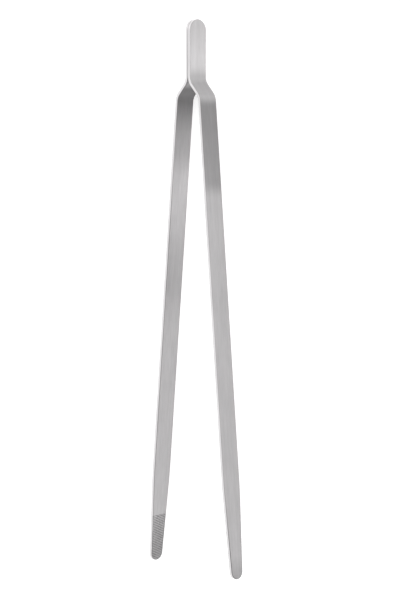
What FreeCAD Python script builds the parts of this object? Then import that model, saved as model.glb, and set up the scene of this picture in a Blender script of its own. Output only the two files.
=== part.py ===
import FreeCAD
import Part
import math
import os

# Long spring tongs in tweezer form, lying on their side on the blades' lower edges.
# +X runs along the tongs towards the joined head, +Z is up across the width of the blades.
# The origin is on the resting surface, below the middle of the tongs.
# Millimetres and degrees throughout.

# Blade strip
LENGTH = 300.0  # round end of the head to the tips
STRIP_WIDTH = 12.0
STRIP_THICKNESS = 1.8
EDGE_RADIUS = 0.3  # all the way round both faces

# Head and shoulder; the radii are those of the inner face
HEAD_LENGTH = 30.3  # straight part where the two strips lie face to face
SHOULDER_ANGLE = 43.0
SHOULDER_FLAT = 5.9  # straight stretch between the shoulder's two bends
HEAD_BEND_RADIUS = 8.2
ARM_BEND_RADIUS = 6.0
ARM_ANGLE = 5.15  # slope of a relaxed arm away from the middle plane

# Tip
TIP_RADIUS = 4.1  # full round end, tangent to the taper
TAPER_LENGTH = 49.0  # from where the blade starts to narrow to the end of the tip
TAPER_BLEND = 6.0  # length of edge, each way, over which the taper starts

# Serrations on the inner face of each tip: V-grooves one way, crossed by a shallower, wider set
GRIP_LENGTH = 26.3
GROOVE_ANGLE = 26.0  # from square across the blade
GROOVE_PITCH = 1.25  # measured across the grooves
GROOVE_DEPTH = 0.25
CROSS_ANGLE = -32.0
CROSS_PITCH = 2.5
CROSS_DEPTH = 0.12
GROOVE_SPREAD = 1.5  # half of a groove's width over its depth

# Spot welds between the two strips of the head
NUGGET_DIAMETER = 5.0
NUGGET_HEIGHT = 1.0  # half of it in each strip
NUGGET_SETBACKS = (10.0, 22.0)  # from the round end of the head

# Flexure: the sprung stretch of each arm turns about one line on its inner face
FLEX_SETBACK = 43.0  # from the end of the shoulder to that line
OUTWARD_RELIEF = 2.4  # wedge left open so that the arm can also be pulled outwards
TIP_CLEARANCE = 0.1  # between an arm's inner face and the middle plane when closed

# Working sizes
OVERRUN = 5.0  # how far cutting bodies pass what they cut
HEAD_END = LENGTH / 2
TIP_END = -LENGTH / 2
MID_WIDTH = STRIP_WIDTH / 2
ARM = math.radians(ARM_ANGLE)
SHOULDER = math.radians(SHOULDER_ANGLE)
UP = FreeCAD.Vector(0, 0, 1)
LENGTH_AXIS = FreeCAD.Vector(1, 0, 0)


def point(x, y, z=0.0):
    return FreeCAD.Vector(x, y, z)


def along(slope):
    """Unit vector towards the tips, rising outwards at the slope."""
    return point(-math.cos(slope), math.sin(slope))


def outwards(slope):
    """Unit vector square to the strip, from its inner face to its outer face."""
    return point(math.sin(slope), math.cos(slope))


def bend(centre, radius, start, end):
    """Arc of a face between two slopes; a negative radius bends back towards the middle."""
    stops = [centre - outwards(slope) * radius for slope in (start, (start + end) / 2, end)]
    return Part.Arc(*stops).toShape()


def shoulder_points():
    """Inner face: where the first bend starts and ends, then the second, as points."""
    first = point(HEAD_END - HEAD_LENGTH, 0)
    first_centre = first + outwards(0) * HEAD_BEND_RADIUS
    first_end = first_centre - outwards(SHOULDER) * HEAD_BEND_RADIUS
    second = first_end + along(SHOULDER) * SHOULDER_FLAT
    second_centre = second - outwards(SHOULDER) * ARM_BEND_RADIUS
    second_end = second_centre + outwards(ARM) * ARM_BEND_RADIUS
    return first_centre, second_centre, second_end


def face_line(depth):
    """Edges of the strip's side view from head to tip, at a depth out from the inner face."""
    first_centre, second_centre, second_end = shoulder_points()
    head = point(HEAD_END + OVERRUN, depth)
    first = bend(first_centre, HEAD_BEND_RADIUS - depth, 0, SHOULDER)
    second = bend(second_centre, -ARM_BEND_RADIUS - depth, SHOULDER, ARM)
    arm_start = second_end + outwards(ARM) * depth
    arm_run = (arm_start.x - TIP_END + OVERRUN) / math.cos(ARM)
    tip = arm_start + along(ARM) * arm_run
    return [
        Part.makeLine(head, first.firstVertex().Point),
        first,
        Part.makeLine(first.lastVertex().Point, second.firstVertex().Point),
        second,
        Part.makeLine(arm_start, tip),
    ]


def bent_strip():
    """The bent strip at full width, with square ends past the head and the tip."""
    inner = face_line(0)
    outer = face_line(STRIP_THICKNESS)
    caps = [
        Part.makeLine(inner[0].firstVertex().Point, outer[0].firstVertex().Point),
        Part.makeLine(inner[-1].lastVertex().Point, outer[-1].lastVertex().Point),
    ]
    wire = Part.Wire(Part.__sortEdges__(inner + outer + caps))
    return Part.Face(wire).extrude(UP * STRIP_WIDTH)


def soft_corner(corner, before, after):
    """Start, middle and end of the arc that rounds one corner of the blade's outline."""
    turn = before.getAngle(after)
    radius = TAPER_BLEND / math.tan(turn / 2)
    inside = (after - before).normalize()
    middle = corner + inside * radius * (1 / math.cos(turn / 2) - 1)
    return corner - before * TAPER_BLEND, middle, corner + after * TAPER_BLEND


def taper_slope():
    """Slope of the straight edge that leaves full width and just touches the tip's round end."""
    reach = TAPER_LENGTH - TIP_RADIUS
    return math.atan2(MID_WIDTH, reach) - math.asin(TIP_RADIUS / math.hypot(MID_WIDTH, reach))


def outline_half(side):
    """One long edge of the blade seen square to its face; side is 1 for the top, -1 for the bottom."""
    slope = taper_slope()
    straight = point(-1, 0, 0)
    narrowing = point(-math.cos(slope), 0, -side * math.sin(slope))
    head = point(HEAD_END - MID_WIDTH, 0, MID_WIDTH + side * MID_WIDTH)
    corner = point(TIP_END + TAPER_LENGTH, 0, MID_WIDTH + side * MID_WIDTH)
    touch = point(-math.sin(slope), 0, side * math.cos(slope)) * TIP_RADIUS
    tip = point(TIP_END + TIP_RADIUS, 0, MID_WIDTH) + touch
    arc = soft_corner(corner, straight, narrowing)
    return [Part.makeLine(head, arc[0]), Part.Arc(*arc).toShape(), Part.makeLine(arc[2], tip)]


def blade_outline():
    """Prism, square to the head's faces, that gives the strip its round ends and its taper."""
    top = outline_half(1)
    bottom = outline_half(-1)
    head_top = top[0].firstVertex().Point
    head_bottom = bottom[0].firstVertex().Point
    tip_top = top[-1].lastVertex().Point
    tip_bottom = bottom[-1].lastVertex().Point
    ends = [
        Part.Arc(head_top, point(HEAD_END, 0, MID_WIDTH), head_bottom).toShape(),
        Part.Arc(tip_top, point(TIP_END, 0, MID_WIDTH), tip_bottom).toShape(),
    ]
    wire = Part.Wire(Part.__sortEdges__(top + bottom + ends))
    face = Part.Face(wire)
    face.translate(point(0, -OVERRUN))
    return face.extrude(point(0, LENGTH / 2))


def rim_edges(blade):
    """Edges that run round the blade's two faces, not those across its width or thickness."""
    rims = []
    for edge in blade.Edges:
        span = edge.lastVertex().Point - edge.firstVertex().Point
        across = abs(span.z) > STRIP_WIDTH / 4 and isinstance(edge.Curve, Part.Line)
        through = edge.Length < 2 * STRIP_THICKNESS
        if not across and not through:
            rims.append(edge)
    return rims


def tip_frame(shape):
    """Moves a shape from tip axes (X from the tip end towards the head, Y out) onto the right arm."""
    start = shoulder_points()[2]
    run = (start.x - TIP_END) / math.cos(ARM)
    corner = start + along(ARM) * run
    shape.rotate(point(0, 0), UP, -ARM_ANGLE)
    shape.translate(corner)
    return shape


def groove_set(angle, pitch, depth):
    """Parallel V-grooves over the tip's end, at an angle from square across the blade."""
    slant = math.radians(angle)
    reach = STRIP_WIDTH / math.cos(slant) + OVERRUN
    step = pitch / math.cos(slant)
    lean = STRIP_WIDTH * abs(math.tan(slant))
    half = depth * GROOVE_SPREAD
    corners = [point(-half, 0), point(0, depth), point(half, 0), point(-half, 0)]
    profile = Part.Face(Part.makePolygon(corners))
    profile.translate(point(0, 0, -reach / 2))
    groove = profile.extrude(UP * reach)
    groove.rotate(point(0, 0), point(0, 1, 0), angle)
    grooves = []
    for index in range(int((GRIP_LENGTH + lean) / step) + 1):
        copy = groove.copy()
        copy.translate(point(index * step - lean / 2, 0, MID_WIDTH))
        grooves.append(copy)
    return Part.makeCompound(grooves)


def serrations(angle, pitch, depth):
    """One set of grooves on the right tip's inner face, ending square across the blade."""
    zone = Part.makeBox(GRIP_LENGTH, 2 * depth, STRIP_WIDTH, point(0, -depth / 2))
    return tip_frame(groove_set(angle, pitch, depth).common(zone))


def nugget(setback):
    centre = point(HEAD_END - setback, -NUGGET_HEIGHT / 2, MID_WIDTH)
    return Part.makeCylinder(NUGGET_DIAMETER / 2, NUGGET_HEIGHT, centre, point(0, 1, 0))


def right_blade():
    blade = bent_strip().common(blade_outline()).Solids[0]
    blade = blade.makeFillet(EDGE_RADIUS, rim_edges(blade))
    blade = blade.cut(serrations(GROOVE_ANGLE, GROOVE_PITCH, GROOVE_DEPTH))
    blade = blade.cut(serrations(CROSS_ANGLE, CROSS_PITCH, CROSS_DEPTH))
    for setback in NUGGET_SETBACKS:
        blade = blade.cut(nugget(setback))
    return blade


def flex_point():
    """The flexure's turning line on the right arm's inner face, at mid width."""
    pivot = shoulder_points()[2] + along(ARM) * (FLEX_SETBACK / math.cos(ARM))
    return point(pivot.x, pivot.y, MID_WIDTH)


def beyond_flex(relief):
    """Block over everything on the tip's side of the flexure, turned open by a relief angle."""
    corner = point(0, -LENGTH / 4, -STRIP_WIDTH)
    block = Part.makeBox(LENGTH, LENGTH / 2, 3 * STRIP_WIDTH, corner)
    block.rotate(point(0, 0), UP, 180 - ARM_ANGLE + relief)
    block.translate(flex_point())
    return block


def turned_over(shape):
    """The same part for the left side: half a turn about the tongs' length axis."""
    copy = shape.copy()
    copy.rotate(point(0, 0, MID_WIDTH), LENGTH_AXIS, 180)
    return copy


def closing_angle():
    """Turn at the flexure that brings a tip's inner face to the middle plane."""
    pivot = flex_point()
    run = (pivot.x - TIP_END) / math.cos(ARM)
    return ARM_ANGLE + math.degrees(math.asin((pivot.y - TIP_CLEARANCE) / run))


def build():
    blade = right_blade()
    heel = blade.cut(beyond_flex(0))
    arm = blade.common(beyond_flex(OUTWARD_RELIEF))
    return {
        "right_heel": heel,
        "right_arm": arm,
        "left_heel": turned_over(heel),
        "left_arm": turned_over(arm),
        "head_spot_welds": Part.makeCompound([nugget(setback) for setback in NUGGET_SETBACKS]),
    }


def export(parts):
    os.makedirs("parts", exist_ok=True)
    for name, shape in parts.items():
        shape.exportStep("parts/" + name + ".step")
        box = shape.BoundBox
        sizes = (len(shape.Solids), shape.Volume, box.XMin, box.XMax, box.YMin, box.YMax, box.ZMin, box.ZMax)
        print(name, shape.isValid(), "solids %d volume %.1f box %.2f %.2f %.2f %.2f %.2f %.2f" % sizes)
    pivot = flex_point()
    print("flexure at %.3f %.3f %.3f, closes by %.3f degrees" % (pivot.x, pivot.y, pivot.z, closing_angle()))


export(build())
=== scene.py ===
import math

import bmesh
import bpy
import numpy as np
from mathutils import Matrix, Vector


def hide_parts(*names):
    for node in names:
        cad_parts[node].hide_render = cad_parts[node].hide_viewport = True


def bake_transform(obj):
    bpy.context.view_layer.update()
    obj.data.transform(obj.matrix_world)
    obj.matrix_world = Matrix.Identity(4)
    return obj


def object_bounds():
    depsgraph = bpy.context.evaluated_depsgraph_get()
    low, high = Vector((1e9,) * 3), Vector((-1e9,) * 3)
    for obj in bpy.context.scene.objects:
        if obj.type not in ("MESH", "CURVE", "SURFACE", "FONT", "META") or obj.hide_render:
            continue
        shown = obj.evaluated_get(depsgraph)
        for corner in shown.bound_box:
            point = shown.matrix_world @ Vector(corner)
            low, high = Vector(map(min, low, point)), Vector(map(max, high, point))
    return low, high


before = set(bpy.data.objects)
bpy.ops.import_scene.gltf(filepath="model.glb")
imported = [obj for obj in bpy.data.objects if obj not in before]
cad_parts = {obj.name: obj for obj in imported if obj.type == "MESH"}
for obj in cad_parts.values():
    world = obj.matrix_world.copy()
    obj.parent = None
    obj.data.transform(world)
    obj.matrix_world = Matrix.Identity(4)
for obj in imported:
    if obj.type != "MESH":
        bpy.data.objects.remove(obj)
cad_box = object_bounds()

# Long spring tongs in tweezer form. Each blade is one sprung steel strip, so here it is one mesh that
# stands for its heel and its arm. Metres and radians throughout.
MM = 0.001

# Blade strip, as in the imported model
HEAD_END = cad_box[1].x
TIP_END = cad_box[0].x
STRIP_WIDTH = cad_box[1].z
MID_WIDTH = STRIP_WIDTH / 2
STRIP_THICKNESS = 1.8 * MM
EDGE_RADIUS = 0.3 * MM
CROWN_WIDTH = 1.8 * MM  # margin over which the outer face falls away slightly towards its edges
CROWN_DROP = 0.06 * MM

# Side view of the inner face
HEAD_LENGTH = 30.3 * MM
HEAD_BEND_RADIUS = 8.2 * MM
ARM_BEND_RADIUS = 6.0 * MM
SHOULDER_FLAT = 5.9 * MM
SHOULDER = math.radians(43.0)
ARM = math.radians(5.15)

# Tip
TIP_RADIUS = 4.1 * MM
TAPER_LENGTH = 49.0 * MM
TAPER_BLEND = 6.0 * MM
GRIP_LENGTH = 26.3 * MM

# Serrations: angle from square across the blade, pitch across the grooves, depth
GROOVES = ((math.radians(26.0), 1.25 * MM, 0.25 * MM), (math.radians(-32.0), 2.5 * MM, 0.12 * MM))
GROOVE_SPREAD = 1.5  # half width of a groove at the surface, in groove depths
GROOVE_FADE = 0.5 * MM  # margin over which the grooves fade out towards the blade's edge
GROOVE_LEAST = 0.1  # share of their depth that is left at the very edge
GROOVE_UNEVEN = 0.45  # share of their depth by which the grooves come and go
UNEVEN_ALONG = 1.7 * MM
UNEVEN_ACROSS = 1.1 * MM
UNEVEN_SLANT = 2.9 * MM
GRIP_RECESS = 0.07 * MM  # how far the whole serrated face is pressed in
GRIP_RAMP = 0.3 * MM
START_LINE_SHADE = 0.4  # painted shade on the line where the serrated face starts

# Rows and columns of the mesh
ARM_STEP = 1.0 * MM
BEND_STEP = 0.2 * MM
TAPER_STEP = 0.8 * MM
GRIP_STEP = 0.1 * MM
HEAD_ROUND_STEP = math.radians(3)
TIP_ROUND_STEP = math.radians(1.4)
BLEND_STEPS = 12
BEND_MARGIN = 2.0 * MM  # how far above the head's lower end the closer rows of the bends begin
BEND_ROWS_LENGTH = 20.0 * MM
GRIP_ROW_MARGIN = 0.4 * MM  # how far before the serrations the closest rows begin
GRIP_COLUMN_MARGIN = 0.3 * MM
FACE_PITCH = 0.9 * MM
GRIP_PITCH = 0.08 * MM
FACE_COLUMNS = 12
GRIP_COLUMNS = 96
FEWEST_COLUMNS = 3
NARROWEST_COLUMN = 0.7  # in pitches
EDGE_COLUMNS = (0.05 * MM, 0.3 * MM, 0.65 * MM, 1.1 * MM)  # narrower columns beside each rounded edge
FILLET_STEPS = 5
PATH_STEP = 0.1 * MM
MERGE_DISTANCE = 1e-4 * MM
SHORTEST_STEP = 1e-3 * MM
SHARP_ANGLE = math.radians(75)

# Painted shade on the inner edge, deepest in the seam between the strips: (millimetres from the head's lower
# end, darkness)
SEAM_SHADES = ((-70, 0.35), (-45, 0.05), (-14, 0.05), (-2, 0.55), (3, 0.55), (HEAD_LENGTH / MM, 0.2))
# Painted shade on the outer edge near the tip: (millimetres from the tip's end, darkness)
TIP_EDGE_SHADES = ((20, 0.6), (60, 0.1))
SHADE_SLOPE = 1.6
SEAM_WIDTH = 0.25 * MM

# Light and shade painted along the blade, standing in for reflections and shading: (millimetres from the
# head's round end, brightness)
PAINTED_LIGHT_LENGTH = 320
OUTER_PAINTED_LIGHT = (
    (0, 1.1),  # head plate
    (25, 1.3),  # painted highlight where the bend below the head begins
    (35, 0.9),  # slope of the shoulder
    (45, 0.9),
    (50, 0.6),  # painted shade below the shoulder
    (90, 0.7),
    (100, 1.0),  # even from here to the taper
    (290, 1.0),
    (305, 0.8),  # tip
)
INNER_PAINTED_LIGHT = (
    (35, 1.2),
    (40, 0.5),  # painted shade inside the shoulder
    (70, 1.0),
    (95, 1.3),  # painted highlight, the brightest part of the arm
    (145, 1.0),
    (175, 1.1),  # even from here to the serrations
    (275, 1.1),
    (305, 0.8),  # tip
)

# Noises on the steel: millimetres along the blade, millimetres across it, detail
STREAKS = (60, 1.2, 3)
GRAIN = (9, 0.3, 4)
CLOUDS = (18, 9, 2)
BLOTCHES = (2.4, 1.1, 3)
FUSED_CLOUDS = (2.5, 2.5, 4)
FUSED_SPECKS = (0.3, 0.3, 2)
NOISE_SPAN = (0.3, 0.7)  # nearly all of a noise's values lie between these
BLOTCH_SPAN = (0.35, 0.65)

# Steel greys
DARK_BRUSHING = 0.4
LIGHT_BRUSHING = 0.52
# grey of the polished edges, lightened partly by a painted highlight
EDGE_POLISH_AND_HIGHLIGHT = 0.73
BLOTCH_GREY = 0.2
# painted shade in the grooves
GROOVE_SHADE_GREY = 0.14
# painted shade on the edges and in the seam between the strips
SEAM_SHADE_GREY = 0.05
FUSED_GREYS = (0.24, 0.42)

# Strength of each mark on the steel
STREAK_SHARE = 0.3
BLOTCH_STRENGTH = 0.42
# strength and range of the painted shade in the grooves
GROOVE_SHADE_STRENGTH = 0.7
GROOVE_SHADE_SPAN = (0.15, 0.55)
POLISH_AND_HIGHLIGHT_START = 0.25
ANISOTROPY = 0.8

# Roughness, and relief as (depth, strength)
BLADE_ROUGHNESS = (0.5, 0.6)
GRAIN_ROUGHNESS = 0.04
POLISH_ROUGHNESS = -0.2
FUSED_ROUGHNESS = (0.45, 0.7)
GRAIN_RELIEF = (0.004 * MM, 0.6)
DENT_RELIEF = (0.02 * MM, 0.5)
FUSED_RELIEF = (0.02 * MM, 0.7)

# Studio: (sine of the height above the horizon, brightness of the surroundings there)
SKY_LEVELS = ((0, 1.0), (0.25, 1.05), (0.5, 1.3), (0.75, 1.3), (0.97, 0.7))
FLOOR_REACH = 30.0
FLOOR_GREY = 0.65
FLOOR_ROUGHNESS = 0.9
FLOOR_GLOW = 0.54
SOFTBOX_PLACE = (0.8, -0.9, 1.3)
SOFTBOX_SIZE = (1.0, 0.8)
SOFTBOX_POWER = 5.5

# Camera
CAMERA_ELEVATION = math.radians(44.549)
CAMERA_YAW = math.radians(-5.218)
CAMERA_ROLL = math.radians(0.079)
CAMERA_TARGET = Vector((-0.932, -3.520, 6.0)) * MM
CAMERA_DISTANCE = 1.0
CAMERA_LENS = 110.64
CAMERA_SENSOR = 36


def bend_centres():
    """Centres of the shoulder's two bends, as (x, y) in the side view of the right blade."""
    first = np.array([HEAD_END - HEAD_LENGTH, HEAD_BEND_RADIUS])
    out = np.array([math.sin(SHOULDER), math.cos(SHOULDER)])
    onwards = np.array([-math.cos(SHOULDER), math.sin(SHOULDER)])
    second = first - out * (HEAD_BEND_RADIUS + ARM_BEND_RADIUS) + onwards * SHOULDER_FLAT
    return first, second


def side_height(x, depth):
    """Distance of the right blade from the middle plane at x, at a depth out from its inner face."""
    first, second = bend_centres()
    first_radius = HEAD_BEND_RADIUS - depth
    second_radius = ARM_BEND_RADIUS + depth
    flat_x = first[0] - first_radius * math.sin(SHOULDER)
    flat_y = first[1] - first_radius * math.cos(SHOULDER)
    arm_x = second[0] + second_radius * math.sin(ARM)
    arm_y = second[1] + second_radius * math.cos(ARM)
    starts = [
        x >= first[0],
        x >= flat_x,
        x >= second[0] + second_radius * math.sin(SHOULDER),
        x >= arm_x,
    ]
    heights = [
        depth + 0 * x,
        first[1] - np.sqrt(np.maximum(first_radius**2 - (x - first[0]) ** 2, 0)),
        flat_y + (flat_x - x) * math.tan(SHOULDER),
        second[1] + np.sqrt(np.maximum(second_radius**2 - (x - second[0]) ** 2, 0)),
    ]
    return np.select(starts, heights, arm_y + (arm_x - x) * math.tan(ARM))


def spread(start, stop, step):
    """Evenly spaced values from start to stop, both included, no further apart than the step."""
    return np.linspace(start, stop, math.ceil(abs(stop - start) / step) + 1)


def arc_rows(centre_x, centre_half, radius, turns):
    """Outline rows (x, half width, turn of the edge) round an arc."""
    return [(centre_x - radius * math.sin(t), centre_half + radius * math.cos(t), t) for t in turns]


def line_rows(start, stop, turn, step):
    """Outline rows along a straight edge between two (x, half width) points."""
    reach = stop[0] - start[0]
    rise = stop[1] - start[1]
    return [(start[0] + reach * s, start[1] + rise * s, turn) for s in spread(0, 1, step / abs(reach))]


def taper_slope():
    """Angle of the taper's edges, which run from the full width to the tip's round end."""
    reach = TAPER_LENGTH - TIP_RADIUS
    return math.atan2(MID_WIDTH, reach) - math.asin(TIP_RADIUS / math.hypot(MID_WIDTH, reach))


def head_rows(taper_x):
    """Rows of the full width: round end, head, bends and arm, as far as the taper's blend."""
    round_x = HEAD_END - MID_WIDTH
    bend_x = HEAD_END - HEAD_LENGTH + BEND_MARGIN
    arm_x = bend_x - BEND_ROWS_LENGTH
    return [
        arc_rows(round_x, 0, MID_WIDTH, spread(-math.pi / 2, 0, HEAD_ROUND_STEP)),
        line_rows((round_x, MID_WIDTH), (bend_x, MID_WIDTH), 0, ARM_STEP),
        line_rows((bend_x, MID_WIDTH), (arm_x, MID_WIDTH), 0, BEND_STEP),
        line_rows((arm_x, MID_WIDTH), (taper_x, MID_WIDTH), 0, ARM_STEP),
    ]


def tip_rows(taper_x):
    """Rows of the taper and of the tip's round end, closest at the serrations."""
    slope = taper_slope()
    blend_radius = TAPER_BLEND / math.tan(slope / 2)
    blend_turns = spread(0, slope, slope / BLEND_STEPS)
    blend = arc_rows(taper_x, MID_WIDTH - blend_radius, blend_radius, blend_turns)
    blend_x, blend_half, _ = blend[-1]
    grip_x = TIP_END + GRIP_LENGTH + GRIP_ROW_MARGIN
    grip = (grip_x, blend_half + (blend_x - grip_x) * -math.tan(slope))
    tip_x = TIP_END + TIP_RADIUS
    round_start = (tip_x - TIP_RADIUS * math.sin(slope), TIP_RADIUS * math.cos(slope))
    return [
        blend,
        line_rows((blend_x, blend_half), grip, slope, TAPER_STEP),
        line_rows(grip, round_start, slope, GRIP_STEP),
        arc_rows(tip_x, 0, TIP_RADIUS, spread(slope, math.pi / 2, TIP_ROUND_STEP)),
    ]


def outline_rows():
    """Rows from the head's round end to the tip's, each place once."""
    taper_x = TIP_END + TAPER_LENGTH + TAPER_BLEND
    parts = head_rows(taper_x) + tip_rows(taper_x)
    return parts[0] + [row for part in parts[1:] for row in part[1:]]


def columns(width, fine):
    """Number of columns across a face: halved as often as its width asks for."""
    count = GRIP_COLUMNS if fine else FACE_COLUMNS
    narrowest = (GRIP_PITCH if fine else FACE_PITCH) * NARROWEST_COLUMN
    while count > FEWEST_COLUMNS and width / count < narrowest:
        count //= 2
    return count if width > narrowest else 1


def face_line(half, count):
    """Places across a face from its low edge to its high edge, with narrow columns at each side."""
    shrink = min(1, half / (2 * EDGE_COLUMNS[-1]))
    margins = np.array((0.0,) + EDGE_COLUMNS) * shrink
    middle = np.linspace(margins[-1] - half, half - margins[-1], count + 1)
    return np.concatenate([margins[:-1] - half, middle, half - margins[-2::-1]])


def rim_profile():
    """Points round one long edge of the strip, as (inset from the outline, depth from the inner face)."""
    angles = np.linspace(0, math.pi / 2, FILLET_STEPS + 1)
    inset = EDGE_RADIUS * (1 - np.cos(angles))
    depth = EDGE_RADIUS * (1 - np.sin(angles))
    wall_end = STRIP_THICKNESS - 2 * EDGE_RADIUS
    wall = (EDGE_COLUMNS[0], wall_end / 2, wall_end - EDGE_COLUMNS[0])
    inner_rim = list(zip(inset[::-1], depth[::-1]))
    side_wall = [(0.0, EDGE_RADIUS + w) for w in wall]
    outer_rim = [(i, STRIP_THICKNESS - d) for i, d in zip(inset, depth)]
    return inner_rim[1:] + side_wall + outer_rim[:-1]


def face_points(face_x, face_half, count, depth, rim):
    """Points across one face at a row, as (x, height, depth, distance from the outline)."""
    return [(face_x, z, depth, rim + face_half - abs(z)) for z in face_line(face_half, count)]


def row_loop(row, fine):
    """Points round the blade at one row, and its column counts.

    Each point is x, height from mid width, depth from the inner face, and distance from the outline."""
    x, half, turn = row
    normal = (-math.sin(turn), math.cos(turn))
    face_x = x - normal[0] * EDGE_RADIUS
    face_half = max(half - normal[1] * EDGE_RADIUS, 0)
    inner_count = columns(2 * face_half, fine)
    outer_count = columns(2 * face_half, False)
    inner = face_points(face_x, face_half, inner_count, 0.0, half - face_half)
    outer = face_points(face_x, face_half, outer_count, STRIP_THICKNESS, half - face_half)
    high = [(x - normal[0] * i, half - normal[1] * i, d, i) for i, d in rim_profile()]
    low = [(px, -z, d, i) for px, z, d, i in high]
    return inner + high + outer[::-1] + low[::-1], inner_count, outer_count


def split_loop(index, inner_count, outer_count):
    """A row's loop as four chains: inner face, high edge, outer face and low edge."""
    inner_end = inner_count + 1 + 2 * len(EDGE_COLUMNS)
    outer_start = inner_end + len(rim_profile())
    outer_end = outer_start + outer_count + 1 + 2 * len(EDGE_COLUMNS)
    return (
        index[:inner_end],
        index[inner_end - 1:outer_start + 1],
        index[outer_start:outer_end],
        index[outer_end - 1:] + index[:1],
    )


def bridge(first, second):
    """Faces between two chains of vertices, one of which may have a multiple of the other's columns."""
    if len(first) == len(second):
        return [(a, b, c, d) for a, b, c, d in zip(first, first[1:], second[1:], second)]
    coarse, fine = sorted((first, second), key=len)
    edge = len(EDGE_COLUMNS)
    ratio = (len(fine) - 1 - 2 * edge) // (len(coarse) - 1 - 2 * edge)
    faces = bridge(coarse[:edge + 1], fine[:edge + 1]) + bridge(coarse[-edge - 1:], fine[-edge - 1:])
    for column in range(len(coarse) - 1 - 2 * edge):
        shared = fine[edge + ratio * column:edge + ratio * (column + 1) + 1]
        faces.append((coarse[edge + column], *shared, coarse[edge + column + 1]))
    return faces


def skin(rows):
    """Points and faces of a closed skin through the rows, and the loop of points of each row."""
    points = []
    faces = []
    loops = []
    previous = None
    for row in rows:
        fine = row[0] < TIP_END + GRIP_LENGTH + GRIP_COLUMN_MARGIN
        loop, inner_count, outer_count = row_loop(row, fine)
        index = list(range(len(points), len(points) + len(loop)))
        points += loop
        loops.append(index)
        chains = split_loop(index, inner_count, outer_count)
        if previous is not None:
            for before, after in zip(previous, chains):
                faces += bridge(before, after)
        previous = chains
    return np.array(points), faces, loops


def run_from_tip(x):
    """Distance from the tip's end, measured along the sloping arm."""
    return (x - TIP_END) / math.cos(ARM)


def edge_fade(margin, least):
    """Least value at the blade's edge, rising to 1 over a narrow margin."""
    return np.clip((margin - EDGE_RADIUS / 2) / GROOVE_FADE, least, 1)


def grip_share(x):
    """1 on the serrated face, falling to 0 over a short ramp at its start."""
    return np.clip((GRIP_LENGTH - run_from_tip(x)) / GRIP_RAMP, 0, 1)


def groove_depth(x, height, margin):
    """Depth of the serrations below the inner face; they fade out close to the blade's edge."""
    run = run_from_tip(x)
    total = np.zeros_like(x)
    for angle, pitch, depth in GROOVES:
        lean = STRIP_WIDTH * abs(math.tan(angle))
        turn = ((run - height * math.tan(angle) + lean / 2) * math.cos(angle)) / pitch
        distance = np.abs(turn - np.round(turn)) * pitch
        total = np.maximum(total, depth * np.clip(1 - distance / (depth * GROOVE_SPREAD), 0, 1))
    wave = np.sin(run / UNEVEN_ALONG) * np.cos(height / UNEVEN_ACROSS + run / UNEVEN_SLANT)
    worn = 1 - GROOVE_UNEVEN * (0.5 + 0.5 * wave)
    return np.where(run < GRIP_LENGTH, total * edge_fade(margin, GROOVE_LEAST) * worn, 0)


def groove_shade(groove, x, inner):
    """Painted shade in the grooves, and on the line where the serrated face starts."""
    start = grip_share(x) * (1 - grip_share(x + GRIP_RAMP)) * inner
    deepest = GROOVES[0][2]
    return np.clip(np.maximum(groove / deepest, START_LINE_SHADE * start), 0, 1)


def blade_mesh(name):
    """Right blade as one closed mesh, with the places and directions that its material needs."""
    points, faces, loops = skin(outline_rows())
    x, height, depth, margin = points.T
    inner = np.clip(1 - 2 * depth / STRIP_THICKNESS, 0, 1)
    groove = inner * groove_depth(x, height, margin)
    recess = inner * GRIP_RECESS * grip_share(x) * edge_fade(margin, 0)
    crown = CROWN_DROP * np.clip(1 - (margin - EDGE_RADIUS) / CROWN_WIDTH, 0, 1) ** 2
    cut = np.minimum(np.maximum(depth, groove + recess), STRIP_THICKNESS - crown)
    place = np.stack([x, side_height(x, cut), height + MID_WIDTH], axis=1)
    mesh = bpy.data.meshes.new(name)
    mesh.from_pydata(place, [], faces)
    rim = np.minimum(depth, STRIP_THICKNESS - depth) / EDGE_RADIUS
    store(mesh, "plate", "FLOAT_VECTOR", np.stack([along(x), height, depth], axis=1))
    store(mesh, "rim", "FLOAT", np.clip(rim, 0, 1))
    store(mesh, "across", "FLOAT_VECTOR", directions_across(place, loops))
    # painted shade in the grooves and on the serrations' start line
    store(mesh, "groove", "FLOAT", groove_shade(groove, x, inner))
    store(mesh, "grip", "FLOAT", grip_share(x) * inner)
    # painted shade on the edges and in the seam between the strips
    store(mesh, "edge_shade", "FLOAT", painted_edge_shade(x, depth, margin))
    tidy_mesh(mesh)
    return mesh


def directions_across(place, loops):
    """Unit vectors square to the brushing, which runs lengthwise: the way round each row."""
    across = np.tile([0.0, 0.0, 1.0], (len(place), 1))
    for loop in loops:
        ring = place[loop]
        step = np.roll(ring, -1, axis=0) - np.roll(ring, 1, axis=0)
        size = np.linalg.norm(step, axis=1)
        clear = size > SHORTEST_STEP
        across[np.array(loop)[clear]] = step[clear] / size[clear, None]
    return across


def shade_along(run, stops):
    """Darkness at a distance, from stops of (millimetres, darkness)."""
    places, shades = zip(*stops)
    return np.interp(run / MM, places, shades)


def near_face(depth):
    """1 at a face of the strip, falling to 0 one edge radius below it."""
    return np.clip(SHADE_SLOPE * (1 - depth / EDGE_RADIUS), 0, 1)


def painted_edge_shade(x, depth, margin):
    """Painted shade on the rounded edges: most where the strips touch and outside the tips, little
    elsewhere.
    """
    inner = shade_along(x - HEAD_END + HEAD_LENGTH, SEAM_SHADES) * near_face(depth)
    outer = shade_along(x - TIP_END, TIP_EDGE_SHADES) * near_face(STRIP_THICKNESS - depth)
    beside = np.clip(1 - (margin - EDGE_RADIUS) / SEAM_WIDTH, 0, 1)
    return (inner + outer) * beside


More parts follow.
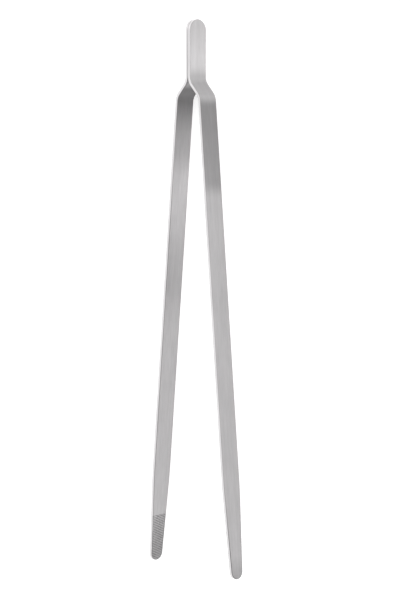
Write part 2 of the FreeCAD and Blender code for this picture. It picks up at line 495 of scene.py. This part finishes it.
def along(x):
    """Distance from the head's round end, measured along the middle of the strip."""
    stops = spread(TIP_END - MM, HEAD_END + MM, PATH_STEP)
    heights = side_height(stops, STRIP_THICKNESS / 2)
    steps = np.hypot(np.diff(stops), np.diff(heights))
    run = np.concatenate([[0], np.cumsum(steps)])
    return run[-1] - np.interp(x, stops, run)


def store(mesh, name, kind, values):
    """Keeps one value or vector for each point of the mesh, for its material."""
    attribute = mesh.attributes.new(name, kind, "POINT")
    field = "vector" if kind == "FLOAT_VECTOR" else "value"
    attribute.data.foreach_set(field, np.asarray(values, np.float32).ravel())


def tidy_mesh(mesh):
    """Joins the points that meet at the round ends and turns every face outwards."""
    work = bmesh.new()
    work.from_mesh(mesh)
    bmesh.ops.remove_doubles(work, verts=work.verts, dist=MERGE_DISTANCE)
    bmesh.ops.recalc_face_normals(work, faces=work.faces)
    work.to_mesh(mesh)
    work.free()
    mesh.polygons.foreach_set("use_smooth", [True] * len(mesh.polygons))


def cut_pockets(blade, nuggets):
    """Recesses in the blade's inner face for the weld metal, so that no two pieces share space."""
    cutter = blade.modifiers.new("weld_pockets", "BOOLEAN")
    cutter.object = nuggets
    cutter.operation = "DIFFERENCE"
    cutter.solver = "EXACT"
    view = bpy.context.evaluated_depsgraph_get()
    mesh = bpy.data.meshes.new_from_object(blade.evaluated_get(view))
    blade.modifiers.clear()
    blade.data = mesh
    mesh.set_sharp_from_angle(angle=SHARP_ANGLE)


def bend_blade(blade):
    """Bakes the blade's placement into its mesh."""
    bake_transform(blade)


def make_blade(side, material):
    """One blade; the left one is the same part turned half over about the tongs' length."""
    name = side + "_blade"
    mesh = blade_mesh(name)
    if side == "left":
        middle = Matrix.Translation((0, 0, MID_WIDTH))
        mesh.transform(middle @ Matrix.Rotation(math.pi, 4, "X") @ middle.inverted())
    blade = bpy.data.objects.new(name, mesh)
    bpy.context.scene.collection.objects.link(blade)
    cut_pockets(blade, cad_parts["head_spot_welds"])
    blade.data.materials.clear()
    blade.data.materials.append(material)
    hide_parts(side + "_heel", side + "_arm")
    bend_blade(blade)


def new_material(name):
    """A material with nodes, its node tree and its shader."""
    material = bpy.data.materials.new(name)
    material.use_nodes = True
    tree = material.node_tree
    return material, tree, tree.nodes["Principled BSDF"]


def add(tree, kind, values=(), **settings):
    """A node with its settings and input values; an input value may be another node's output."""
    node = tree.nodes.new(kind)
    for key, value in settings.items():
        setattr(node, key, value)
    for key, value in dict(values).items():
        if isinstance(value, bpy.types.NodeSocket):
            tree.links.new(value, node.inputs[key])
        else:
            node.inputs[key].default_value = value
    return node


def stored(tree, name, output="Fac"):
    """A value or vector that the mesh keeps for each of its points."""
    return add(tree, "ShaderNodeAttribute", attribute_name=name).outputs[output]


def stretched_noise(tree, place, along_mm, across_mm, detail):
    """Noise drawn out along the blade; sizes are those of its largest marks."""
    scale = (1 / (along_mm * MM), 1 / (across_mm * MM), 1 / (across_mm * MM))
    vector = add(tree, "ShaderNodeMapping", {"Vector": place, "Scale": scale})
    noise = add(tree, "ShaderNodeTexNoise", {"Vector": vector.outputs[0], "Scale": 1, "Detail": detail})
    return noise.outputs["Fac"]


def ranged(tree, value, low, high, out_low, out_high):
    """A value moved from one range to another, and held within it."""
    ranges = {"Value": value, "From Min": low, "From Max": high, "To Min": out_low, "To Max": out_high}
    return add(tree, "ShaderNodeMapRange", ranges).outputs["Result"]


def varied(tree, noise, low, high):
    """A value that a noise moves between two others."""
    return ranged(tree, noise, *NOISE_SPAN, low, high)


def maths(tree, operation, first, second):
    """Two values combined by a Math node."""
    return add(tree, "ShaderNodeMath", {0: first, 1: second}, operation=operation).outputs[0]


def mixed_colour(tree, factor, first, second, blend_type="MIX"):
    """Two colours combined; inputs 6 and 7 and output 2 are the Mix node's colour sockets."""
    inputs = {0: factor, 6: first, 7: second}
    return add(tree, "ShaderNodeMix", inputs, data_type="RGBA", blend_type=blend_type).outputs[2]


def grey(level):
    """A light or steel grey of this level, without a cast."""
    return (level, level, level, 1)


def steel(level):
    """A steel grey, a touch warmer than neutral."""
    return (level * 1.02, level, level * 1.01, 1)


def grey_ramp(tree, value, stops):
    """A grey that follows a value smoothly, from stops of (value, level)."""
    ramp = add(tree, "ShaderNodeValToRGB", {"Fac": value})
    ramp.color_ramp.interpolation = "EASE"
    elements = ramp.color_ramp.elements
    while len(elements) < len(stops):
        elements.new(1)
    for element, (position, level) in zip(elements, stops):
        element.position = position
        element.color = grey(level)
    return ramp.outputs["Color"]


def curve_along(tree, place, stops):
    """A grey that changes along the blade, from stops of (millimetres from the head's end, level)."""
    run = add(tree, "ShaderNodeSeparateXYZ", {"Vector": place}).outputs["X"]
    share = ranged(tree, run, 0, PAINTED_LIGHT_LENGTH * MM, 0, 1)
    return grey_ramp(tree, share, [(distance / PAINTED_LIGHT_LENGTH, level) for distance, level in stops])


def bumped(tree, height, relief, **under):
    """Relief of a (depth, strength) from a value, over another relief if one is given as Normal."""
    distance, strength = relief
    values = {"Height": height, "Distance": distance, "Strength": strength, **under}
    return add(tree, "ShaderNodeBump", values).outputs[0]


def painted_light_along(tree, place):
    """Light and shade painted along the blade, for its inner and its outer face."""
    depth = add(tree, "ShaderNodeSeparateXYZ", {"Vector": place}).outputs["Z"]
    outside = ranged(tree, depth, 0, STRIP_THICKNESS, 0, 1)
    inner_painted_light = curve_along(tree, place, INNER_PAINTED_LIGHT)
    outer_painted_light = curve_along(tree, place, OUTER_PAINTED_LIGHT)
    return mixed_colour(tree, outside, inner_painted_light, outer_painted_light)


def darkened_grip(tree, place, base):
    """The colour with blotches, and painted shade in the grooves, on the serrated face."""
    blotches = stretched_noise(tree, place, *BLOTCHES)
    blotches = ranged(tree, blotches, *BLOTCH_SPAN, 0, BLOTCH_STRENGTH)
    blotches = maths(tree, "MULTIPLY", stored(tree, "grip"), blotches)
    base = mixed_colour(tree, blotches, base, steel(BLOTCH_GREY))
    groove = ranged(tree, stored(tree, "groove"), *GROOVE_SHADE_SPAN, 0, GROOVE_SHADE_STRENGTH)
    return mixed_colour(tree, groove, base, steel(GROOVE_SHADE_GREY))


def blade_colour(tree, place, grain, polish_and_highlight):
    """Brushed grey with polished edges lightened partly by a painted highlight, light and shade painted
    along the blade, blotches and painted shade in the grooves of the serrated face, and painted shade on the
    edges and in the seam.
    """
    streaks = stretched_noise(tree, place, *STREAKS)
    streaks = maths(tree, "MULTIPLY", streaks, STREAK_SHARE)
    scratches = maths(tree, "MULTIPLY", grain, 1 - STREAK_SHARE)
    brushing = varied(tree, maths(tree, "ADD", streaks, scratches), 0, 1)
    base = mixed_colour(tree, brushing, steel(DARK_BRUSHING), steel(LIGHT_BRUSHING))
    # painted light and shade along the blade, standing in for reflections and shading
    base = mixed_colour(tree, 1.0, base, painted_light_along(tree, place), "MULTIPLY")
    # polished edges, lightened in colour partly by a painted highlight
    base = mixed_colour(tree, polish_and_highlight, base, steel(EDGE_POLISH_AND_HIGHLIGHT))
    # blotches, and painted shade in the grooves
    base = darkened_grip(tree, place, base)
    # painted shade on the edges and in the seam between the strips
    return mixed_colour(tree, stored(tree, "edge_shade"), base, steel(SEAM_SHADE_GREY))


def blade_roughness(tree, grain, clouds, polish_and_highlight):
    """Satin, a little uneven, and smoother on the polished edges."""
    rough = varied(tree, clouds, *BLADE_ROUGHNESS)
    rough = maths(tree, "ADD", rough, varied(tree, grain, -GRAIN_ROUGHNESS, GRAIN_ROUGHNESS))
    return maths(tree, "ADD", rough, maths(tree, "MULTIPLY", polish_and_highlight, POLISH_ROUGHNESS))


def brushed_steel(name):
    """Satin steel brushed lengthwise, with streaks, fine scratches, soft dents and polished edges, and light
    and shade painted into its colour.
    """
    material, tree, shader = new_material(name)
    place = stored(tree, "plate", "Vector")
    grain = stretched_noise(tree, place, *GRAIN)
    clouds = stretched_noise(tree, place, *CLOUDS)
    # the polished edges: smoother, and lighter in colour partly by a painted highlight
    polish_and_highlight = ranged(tree, stored(tree, "rim"), POLISH_AND_HIGHLIGHT_START, 1, 0, 1)
    relief = bumped(tree, clouds, DENT_RELIEF, Normal=bumped(tree, grain, GRAIN_RELIEF))
    tree.links.new(blade_colour(tree, place, grain, polish_and_highlight), shader.inputs["Base Color"])
    tree.links.new(blade_roughness(tree, grain, clouds, polish_and_highlight), shader.inputs["Roughness"])
    tree.links.new(relief, shader.inputs["Normal"])
    tree.links.new(stored(tree, "across", "Vector"), shader.inputs["Tangent"])
    shader.inputs["Metallic"].default_value = 1
    shader.inputs["Anisotropic"].default_value = ANISOTROPY
    return material


def fused_steel(name):
    """Dull, slightly clouded steel of the hidden welds."""
    material, tree, shader = new_material(name)
    place = add(tree, "ShaderNodeTexCoord").outputs["Object"]
    clouds = stretched_noise(tree, place, *FUSED_CLOUDS)
    specks = stretched_noise(tree, place, *FUSED_SPECKS)
    dark, light = FUSED_GREYS
    tree.links.new(mixed_colour(tree, clouds, steel(dark), steel(light)), shader.inputs["Base Color"])
    tree.links.new(varied(tree, clouds, *FUSED_ROUGHNESS), shader.inputs["Roughness"])
    tree.links.new(bumped(tree, specks, FUSED_RELIEF), shader.inputs["Normal"])
    shader.inputs["Metallic"].default_value = 1
    return material


def make_floor():
    """Plain pale surface under the tongs, lit a little from below like a light table."""
    mesh = bpy.data.meshes.new("floor")
    reach = FLOOR_REACH
    corners = [(-reach, -reach, 0), (reach, -reach, 0), (reach, reach, 0), (-reach, reach, 0)]
    mesh.from_pydata(corners, [], [(0, 1, 2, 3)])
    floor = bpy.data.objects.new("floor", mesh)
    bpy.context.scene.collection.objects.link(floor)
    material, _, shader = new_material("pale_floor")
    shader.inputs["Base Color"].default_value = grey(FLOOR_GREY)
    shader.inputs["Roughness"].default_value = FLOOR_ROUGHNESS
    shader.inputs["Emission Color"].default_value = grey(1)
    shader.inputs["Emission Strength"].default_value = FLOOR_GLOW
    shader.inputs["Specular IOR Level"].default_value = 0
    mesh.materials.append(material)


def make_softbox():
    """A large soft light high on the near side, facing the tongs."""
    light = bpy.data.lights.new("softbox", "AREA")
    light.shape = "RECTANGLE"
    light.size, light.size_y = SOFTBOX_SIZE
    light.energy = SOFTBOX_POWER
    lamp = bpy.data.objects.new("softbox", light)
    lamp.location = SOFTBOX_PLACE
    lamp.rotation_mode = "QUATERNION"
    lamp.rotation_quaternion = (-Vector(SOFTBOX_PLACE)).to_track_quat("-Z", "Y")
    bpy.context.scene.collection.objects.link(lamp)


def make_world():
    """Pale surroundings, dimmest straight overhead."""
    world = bpy.data.worlds.new("studio")
    world.use_nodes = True
    tree = world.node_tree
    direction = add(tree, "ShaderNodeTexCoord").outputs["Generated"]
    height = add(tree, "ShaderNodeSeparateXYZ", {"Vector": direction}).outputs["Z"]
    tree.links.new(grey_ramp(tree, height, SKY_LEVELS), tree.nodes["Background"].inputs["Color"])
    bpy.context.scene.world = world


def make_camera():
    """Camera high on the near side, with the head towards the top of the picture."""
    forward = Vector((0, math.cos(CAMERA_ELEVATION), -math.sin(CAMERA_ELEVATION)))
    right = Vector((0, -math.sin(CAMERA_ELEVATION), -math.cos(CAMERA_ELEVATION)))
    up = Vector((1, 0, 0))
    ahead = forward * math.cos(CAMERA_YAW) + up * math.sin(CAMERA_YAW)
    upright = up * math.cos(CAMERA_YAW) - forward * math.sin(CAMERA_YAW)
    side = right * math.cos(CAMERA_ROLL) + upright * math.sin(CAMERA_ROLL)
    top = upright * math.cos(CAMERA_ROLL) - right * math.sin(CAMERA_ROLL)
    turn = Matrix((side, top, -ahead)).transposed()
    place = CAMERA_TARGET - ahead * CAMERA_DISTANCE
    data = bpy.data.cameras.new("camera")
    data.lens = CAMERA_LENS
    data.sensor_width = CAMERA_SENSOR
    camera = bpy.data.objects.new("camera", data)
    camera.matrix_world = Matrix.Translation(place) @ turn.to_4x4()
    bpy.context.scene.collection.objects.link(camera)
    bpy.context.scene.camera = camera


blade_steel = brushed_steel("blade_steel")
for side in ("left", "right"):
    make_blade(side, blade_steel)
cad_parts["head_spot_welds"].material_slots[0].material = fused_steel("weld_steel")

make_floor()
make_world()
make_softbox()
make_camera()
bpy.context.scene.view_settings.view_transform = "Standard"
